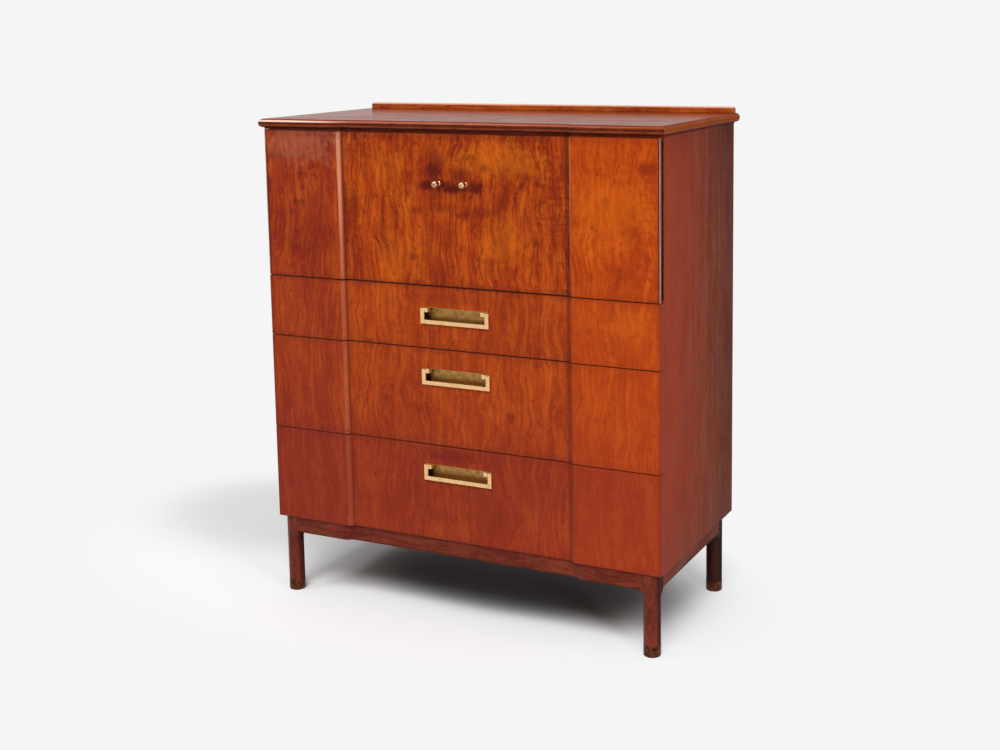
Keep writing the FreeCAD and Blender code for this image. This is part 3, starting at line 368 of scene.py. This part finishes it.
def plain_wood(name, tones, grain, rough):
    """Planed hardwood under a thin sealer: straight soft bands 25 mm wide, short fibres and little gloss."""
    material, tree, shader = new_material(name)
    split = add(tree, "ShaderNodeSeparateXYZ", {0: piece_place(tree)})
    board = along_the_board(tree, split, grain)
    band = cloud(tree, board, (25.0, 500.0, 25.0), detail=3.0)
    fibre = cloud(tree, board, (2.2, 60.0, 2.2))
    surface = add(tree, "ShaderNodeValToRGB", {0: band}, stops=tones["bands"]).outputs[0]
    surface = stain(tree, surface, fibre, 0.5, 0.8, 0.5, tones["dark"])
    gloss = add(tree, "ShaderNodeMapRange", {0: band, 1: 0.3, 2: 0.7, 3: rough * 0.9,
                                             4: rough * 1.1}).outputs[0]
    shader.inputs["Specular IOR Level"].default_value = 0.25
    dress(tree, shader, surface, gloss, fibre, strength=0.15, depth_mm=0.3)
    return material


OAK_TONES = {"bands": [(0.25, "#9A7448"), (0.45, "#B08E5E"), (0.60, "#C4A474"), (0.80, "#D4B888")],
             "dark": "#7C5A34"}
PLY_TONES = {"bands": [(0.25, "#644830"), (0.50, "#7E6042"), (0.75, "#947656")], "dark": "#4C3422"}
box_side_wood = plain_wood("oak_box_side_sealed", OAK_TONES, "ZYX", 0.5)
box_end_wood = plain_wood("oak_box_end_sealed", OAK_TONES, "ZXY", 0.5)
box_floor_wood = plain_wood("oak_box_floor_sealed", OAK_TONES, "YXZ", 0.55)
back_plywood = plain_wood("gum_plywood_bare", PLY_TONES, "XZY", 0.7)


# Metals

def metal(name, bright, dull, patina_mm, cover, rough_low, rough_high, painted_shade_ends=None):
    """Worn metal: a bright tone under a thin film of tarnish in clouds, duller where the film lies.

    The polish has left fine lines 1.1 mm apart, drawn coarser than real ones. A pressed pan has its end
    walls painted dark as shade.
    """
    material, tree, shader = new_material(name)
    place = piece_place(tree)
    patina = cloud(tree, place, (patina_mm, patina_mm, patina_mm), detail=5.0, roughness=0.65)
    film = add(tree, "ShaderNodeMapRange", {0: patina, 1: 0.6 - cover, 2: 0.75 - cover * 0.5}).outputs[0]
    surface = add(tree, "ShaderNodeMix", {0: film, 6: colour(bright), 7: colour(dull)},
                  data_type="RGBA").outputs[2]
    if painted_shade_ends:
        turned = add(tree, "ShaderNodeMath", {0: facing(tree)["X"]}, operation="ABSOLUTE").outputs[0]
        surface = stain(tree, surface, turned, 0.15, 0.7, 1.0, painted_shade_ends)
    polish = cloud(tree, place, (16.0, 1.1, 1.1))
    rough = add(tree, "ShaderNodeMapRange", {0: film, 3: rough_low, 4: rough_high}).outputs[0]
    shader.inputs["Metallic"].default_value = 1.0
    dress(tree, shader, surface, rough, polish, strength=0.2, depth_mm=0.1)
    return material


bail_brass = metal("brass_bail_polished", "#F4C68E", "#D09C60", 9.0, 0.08, 0.20, 0.34)
dish_brass = metal("brass_dish_dulled", "#BA8C50", "#96723C", 12.0, 0.20, 0.36, 0.5, painted_shade_ends="#1C0C08")
knob_brass = metal("brass_knob_worn", "#D8AC84", "#8A5A40", 7.0, 0.12, 0.22, 0.42)
# The hinges are a darker brown than their brass, as painted shade in the gaps beside the doors; the shelf
# pins share this finish
hinge_brass = metal("brass_hinge_darkened_as_shade", "#4E3420", "#2A1A10", 8.0, 0.2, 0.4, 0.6)
ferrule_brass = metal("brass_ferrule_browned", "#6C3E2C", "#34180F", 9.0, 0.22, 0.28, 0.55)
screw_steel = metal("steel_screw_plated", "#B0B0AC", "#82827C", 5.0, 0.16, 0.35, 0.5)


# Paint

def catch_paint():
    """Brown enamel baked on a steel case: an even dark tone with a slight orange peel 1 mm across."""
    material, tree, shader = new_material("enamel_catch_brown")
    place = piece_place(tree)
    peel = cloud(tree, place, (1.1, 1.1, 1.1))
    worn = cloud(tree, place, (9.0, 9.0, 9.0), detail=3.0)
    shade = add(tree, "ShaderNodeValToRGB", {0: worn}, stops=[(0.3, "#34261C"), (0.7, "#4C382C")]).outputs[0]
    rough = add(tree, "ShaderNodeMapRange", {0: worn, 1: 0.3, 2: 0.7, 3: 0.34, 4: 0.5}).outputs[0]
    dress(tree, shader, shade, rough, peel, strength=0.1, depth_mm=0.2)
    return material


catch_enamel = catch_paint()


# Finish of each piece: the first row whose beginning and ending fit the piece's name

FINISHES = [
    ("door_catches", "", catch_enamel), ("door_hinge_case_halves", "", hinge_brass),
    ("door_", "_panel", front_walnut), ("door_", "_edge_bead", maple_bead), ("door_", "_knob", knob_brass),
    ("door_", "_hinge_leaf", hinge_brass), ("door_", "_strike", screw_steel),
    ("drawer_runners", "", box_side_wood), ("drawer_", "_front", front_walnut),
    ("drawer_", "_box_sides", box_side_wood), ("drawer_", "_box_ends", box_end_wood),
    ("drawer_", "_bottom", box_floor_wood), ("drawer_", "_screws", screw_steel),
    ("drawer_", "_pull_dish", dish_brass), ("drawer_", "_pull_bail", bail_brass),
    ("drawer_", "_pull_pivots", bail_brass),
    ("top_board", "", top_walnut), ("top_ground", "", ground_walnut),
    ("top_gallery_rail", "", gallery_walnut),
    ("case_side_", "", side_walnut), ("case_back_panel", "", back_plywood), ("case_screws", "", screw_steel),
    ("cupboard_shelf_pins", "", hinge_brass),
    ("base_apron", "", apron_walnut), ("base_rail_rear", "", apron_walnut),
    ("base_side_rails", "", side_rail_walnut), ("base_corner_blocks", "", box_side_wood),
    ("base_leg_", "", leg_walnut), ("base_ferrules", "", ferrule_brass),
    ("", "", inner_walnut),
]

for node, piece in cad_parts.items():
    finish = next(material for beginning, ending, material in FINISHES
                  if node.startswith(beginning) and node.endswith(ending))
    piece.data.materials.clear()
    piece.data.materials.append(finish)


# Floor and surroundings

BACKDROP = "#F5F5F5"
FLOOR_HALF_WIDTH = 14.0    # metres
SEEN_PAPER = "#EEEEEE"
LIT_PAPER = "#C8C8C8"      # what the paper throws back onto the chest
# Painted shadows on the paper: under the chest, and lighter beside it to the left
PAINTED_SHADOW_UNDER = "#5E686E"
PAINTED_SHADOW_BESIDE = "#9A9A9A"
PAINTED_SHADOW_BESIDE_AMOUNT = 0.35


def background_rays(tree):
    """1 for what the camera sees straight, in a reflection or through glass, otherwise 0."""
    rays = add(tree, "ShaderNodeLightPath").outputs
    mirrored = add(tree, "ShaderNodeMath", {0: rays["Is Glossy Ray"], 1: rays["Is Transmission Ray"]},
                   operation="MAXIMUM")
    return add(tree, "ShaderNodeMath", {0: rays["Is Camera Ray"], 1: mirrored.outputs[0]},
               operation="MAXIMUM").outputs[0]


def oval(tree, place, middle, scale, start, full):
    """0 to 1 round a middle on the floor: 0 where the scaled distance from it is at start, 1 at full.

    The middle is in metres, and the scale is 1 over the oval's half width and half depth in metres.
    """
    away = add(tree, "ShaderNodeVectorMath", {0: place, 1: (*middle, 0.0)}, operation="SUBTRACT").outputs[0]
    away = add(tree, "ShaderNodeVectorMath", {0: away, 1: (*scale, 0.0)}, operation="MULTIPLY").outputs[0]
    reach = add(tree, "ShaderNodeVectorMath", {0: away}, operation="LENGTH").outputs["Value"]
    return add(tree, "ShaderNodeMapRange", {0: reach, 1: start, 2: full},
               interpolation_type="SMOOTHSTEP").outputs[0]


def floor_paper():
    """Matt paper that keeps the chest's shadow and turns into the plain backdrop further out.

    A painted shadow darkens the paper under the chest, and a lighter painted shadow lies a little to its
    left, on the paper and on the backdrop.
    """
    material, tree, shader = new_material("paper_floor_pale")
    output = shader.outputs[0].links[0].to_node
    tree.nodes.remove(shader)
    place = add(tree, "ShaderNodeTexCoord").outputs["Object"]
    far = oval(tree, place, (-0.30, 0.03), (1.0, 1.7), 0.62, 1.10)
    under = oval(tree, place, (0.0, 0.06), (1 / 0.60, 1 / 0.30), 1.0, 0.35)
    beside = oval(tree, place, (-0.85, 0.24), (1 / 0.62, 1 / 0.50), 1.0, 0.15)
    seen = background_rays(tree)
    far_seen = add(tree, "ShaderNodeMath", {0: far, 1: seen}, operation="MULTIPLY").outputs[0]
    tone = add(tree, "ShaderNodeMix", {0: seen, 6: colour(LIT_PAPER), 7: colour(SEEN_PAPER)},
               data_type="RGBA").outputs[2]
    tone = stain(tree, tone, under, 0.0, 1.0, 0.8, PAINTED_SHADOW_UNDER)
    tone = stain(tree, tone, beside, 0.0, 1.0, PAINTED_SHADOW_BESIDE_AMOUNT, PAINTED_SHADOW_BESIDE)
    backdrop_tone = stain(tree, colour(BACKDROP), beside, 0.0, 1.0, PAINTED_SHADOW_BESIDE_AMOUNT, PAINTED_SHADOW_BESIDE)
    paper = add(tree, "ShaderNodeBsdfDiffuse", {"Color": tone})
    backdrop = add(tree, "ShaderNodeEmission", {"Color": backdrop_tone})
    mixed = add(tree, "ShaderNodeMixShader", {0: far_seen, 1: paper.outputs[0], 2: backdrop.outputs[0]})
    tree.links.new(mixed.outputs[0], output.inputs["Surface"])
    return material


def studio_floor():
    floor = bpy.data.objects.new("studio_floor", bpy.data.meshes.new("studio_floor"))
    bpy.context.scene.collection.objects.link(floor)
    shape = bmesh.new()
    bmesh.ops.create_grid(shape, x_segments=1, y_segments=1, size=FLOOR_HALF_WIDTH)
    shape.to_mesh(floor.data)
    shape.free()
    floor.data.materials.append(floor_paper())


def studio_world():
    """Soft light from overhead, and a pale backdrop that ends in a dimmer room above it."""
    world = bpy.data.worlds.new("studio")
    bpy.context.scene.world = world
    world.use_nodes = True
    tree = world.node_tree
    tree.nodes.clear()
    way = add(tree, "ShaderNodeTexCoord").outputs["Generated"]
    height = add(tree, "ShaderNodeSeparateXYZ", {0: way}).outputs["Z"]
    overhead = add(tree, "ShaderNodeMapRange", {0: height, 1: 0.0, 2: 1.0, 3: 0.0, 4: 0.6}).outputs[0]
    soft = add(tree, "ShaderNodeBackground", {"Color": (1, 1, 1, 1), "Strength": overhead})
    room = add(tree, "ShaderNodeValToRGB", {0: height},
               stops=[(0.026, BACKDROP), (0.07, 0.42), (0.20, 0.16), (0.60, 0.16), (1.0, 0.40)]).outputs[0]
    pale = add(tree, "ShaderNodeBackground", {"Color": room, "Strength": 1.0})
    mixed = add(tree, "ShaderNodeMixShader", {0: background_rays(tree), 1: soft.outputs[0],
                                              2: pale.outputs[0]})
    add(tree, "ShaderNodeOutputWorld", {"Surface": mixed.outputs[0]})


# Lamps and camera

def lamp(name, kind, place, target, power, size=None, angle_deg=None):
    """A lamp aimed at a target, hidden from the camera: a box of a size in metres, or a sun of an angle."""
    data = bpy.data.lights.new(name, kind)
    data.energy = power
    if size:
        data.shape = "RECTANGLE"
        data.size, data.size_y = size
    if angle_deg:
        data.angle = math.radians(angle_deg)
    made = bpy.data.objects.new(name, data)
    bpy.context.scene.collection.objects.link(made)
    made.visible_camera = False
    aim = (Vector(target) - Vector(place)).normalized()
    made.matrix_world = Matrix.Translation(Vector(place)) @ aim.to_track_quat("-Z", "Y").to_matrix().to_4x4()


CAMERA_PLACE = (1.6283, -3.0660, 1.404)
CAMERA_HEADING, CAMERA_DIP, CAMERA_ROLL = 25.838, 8.067, -0.7213    # degrees


def photo_camera():
    """The photograph's view, fitted to the corners and joint lines of the chest."""
    data = bpy.data.cameras.new("photo_camera")
    data.sensor_width = 36.0    # millimetres, as the lens is
    data.lens = 51.23
    data.shift_x = -0.0523
    data.shift_y = -0.1427
    made = bpy.data.objects.new("photo_camera", data)
    bpy.context.scene.collection.objects.link(made)
    turn = (Matrix.Rotation(math.radians(CAMERA_HEADING), 4, "Z")
            @ Matrix.Rotation(math.radians(90 - CAMERA_DIP), 4, "X")
            @ Matrix.Rotation(math.radians(CAMERA_ROLL), 4, "Z"))
    made.matrix_world = Matrix.Translation(CAMERA_PLACE) @ turn
    bpy.context.scene.camera = made


studio_floor()
studio_world()
lamp("key_sun", "SUN", (0.44, -1.71, 2.43), (0, 0, 0), 2.3, angle_deg=30)
lamp("tall_strip_right", "AREA", (2.1, -1.45, 1.0), (0.0, -0.2, 0.8), 14, size=(0.35, 1.5))
lamp("high_box_left", "AREA", (-2.05, -1.63, 2.62), (-0.4, -0.2, 1.1), 18, size=(0.9, 0.6))
photo_camera()
bpy.context.scene.view_settings.view_transform = "Standard"
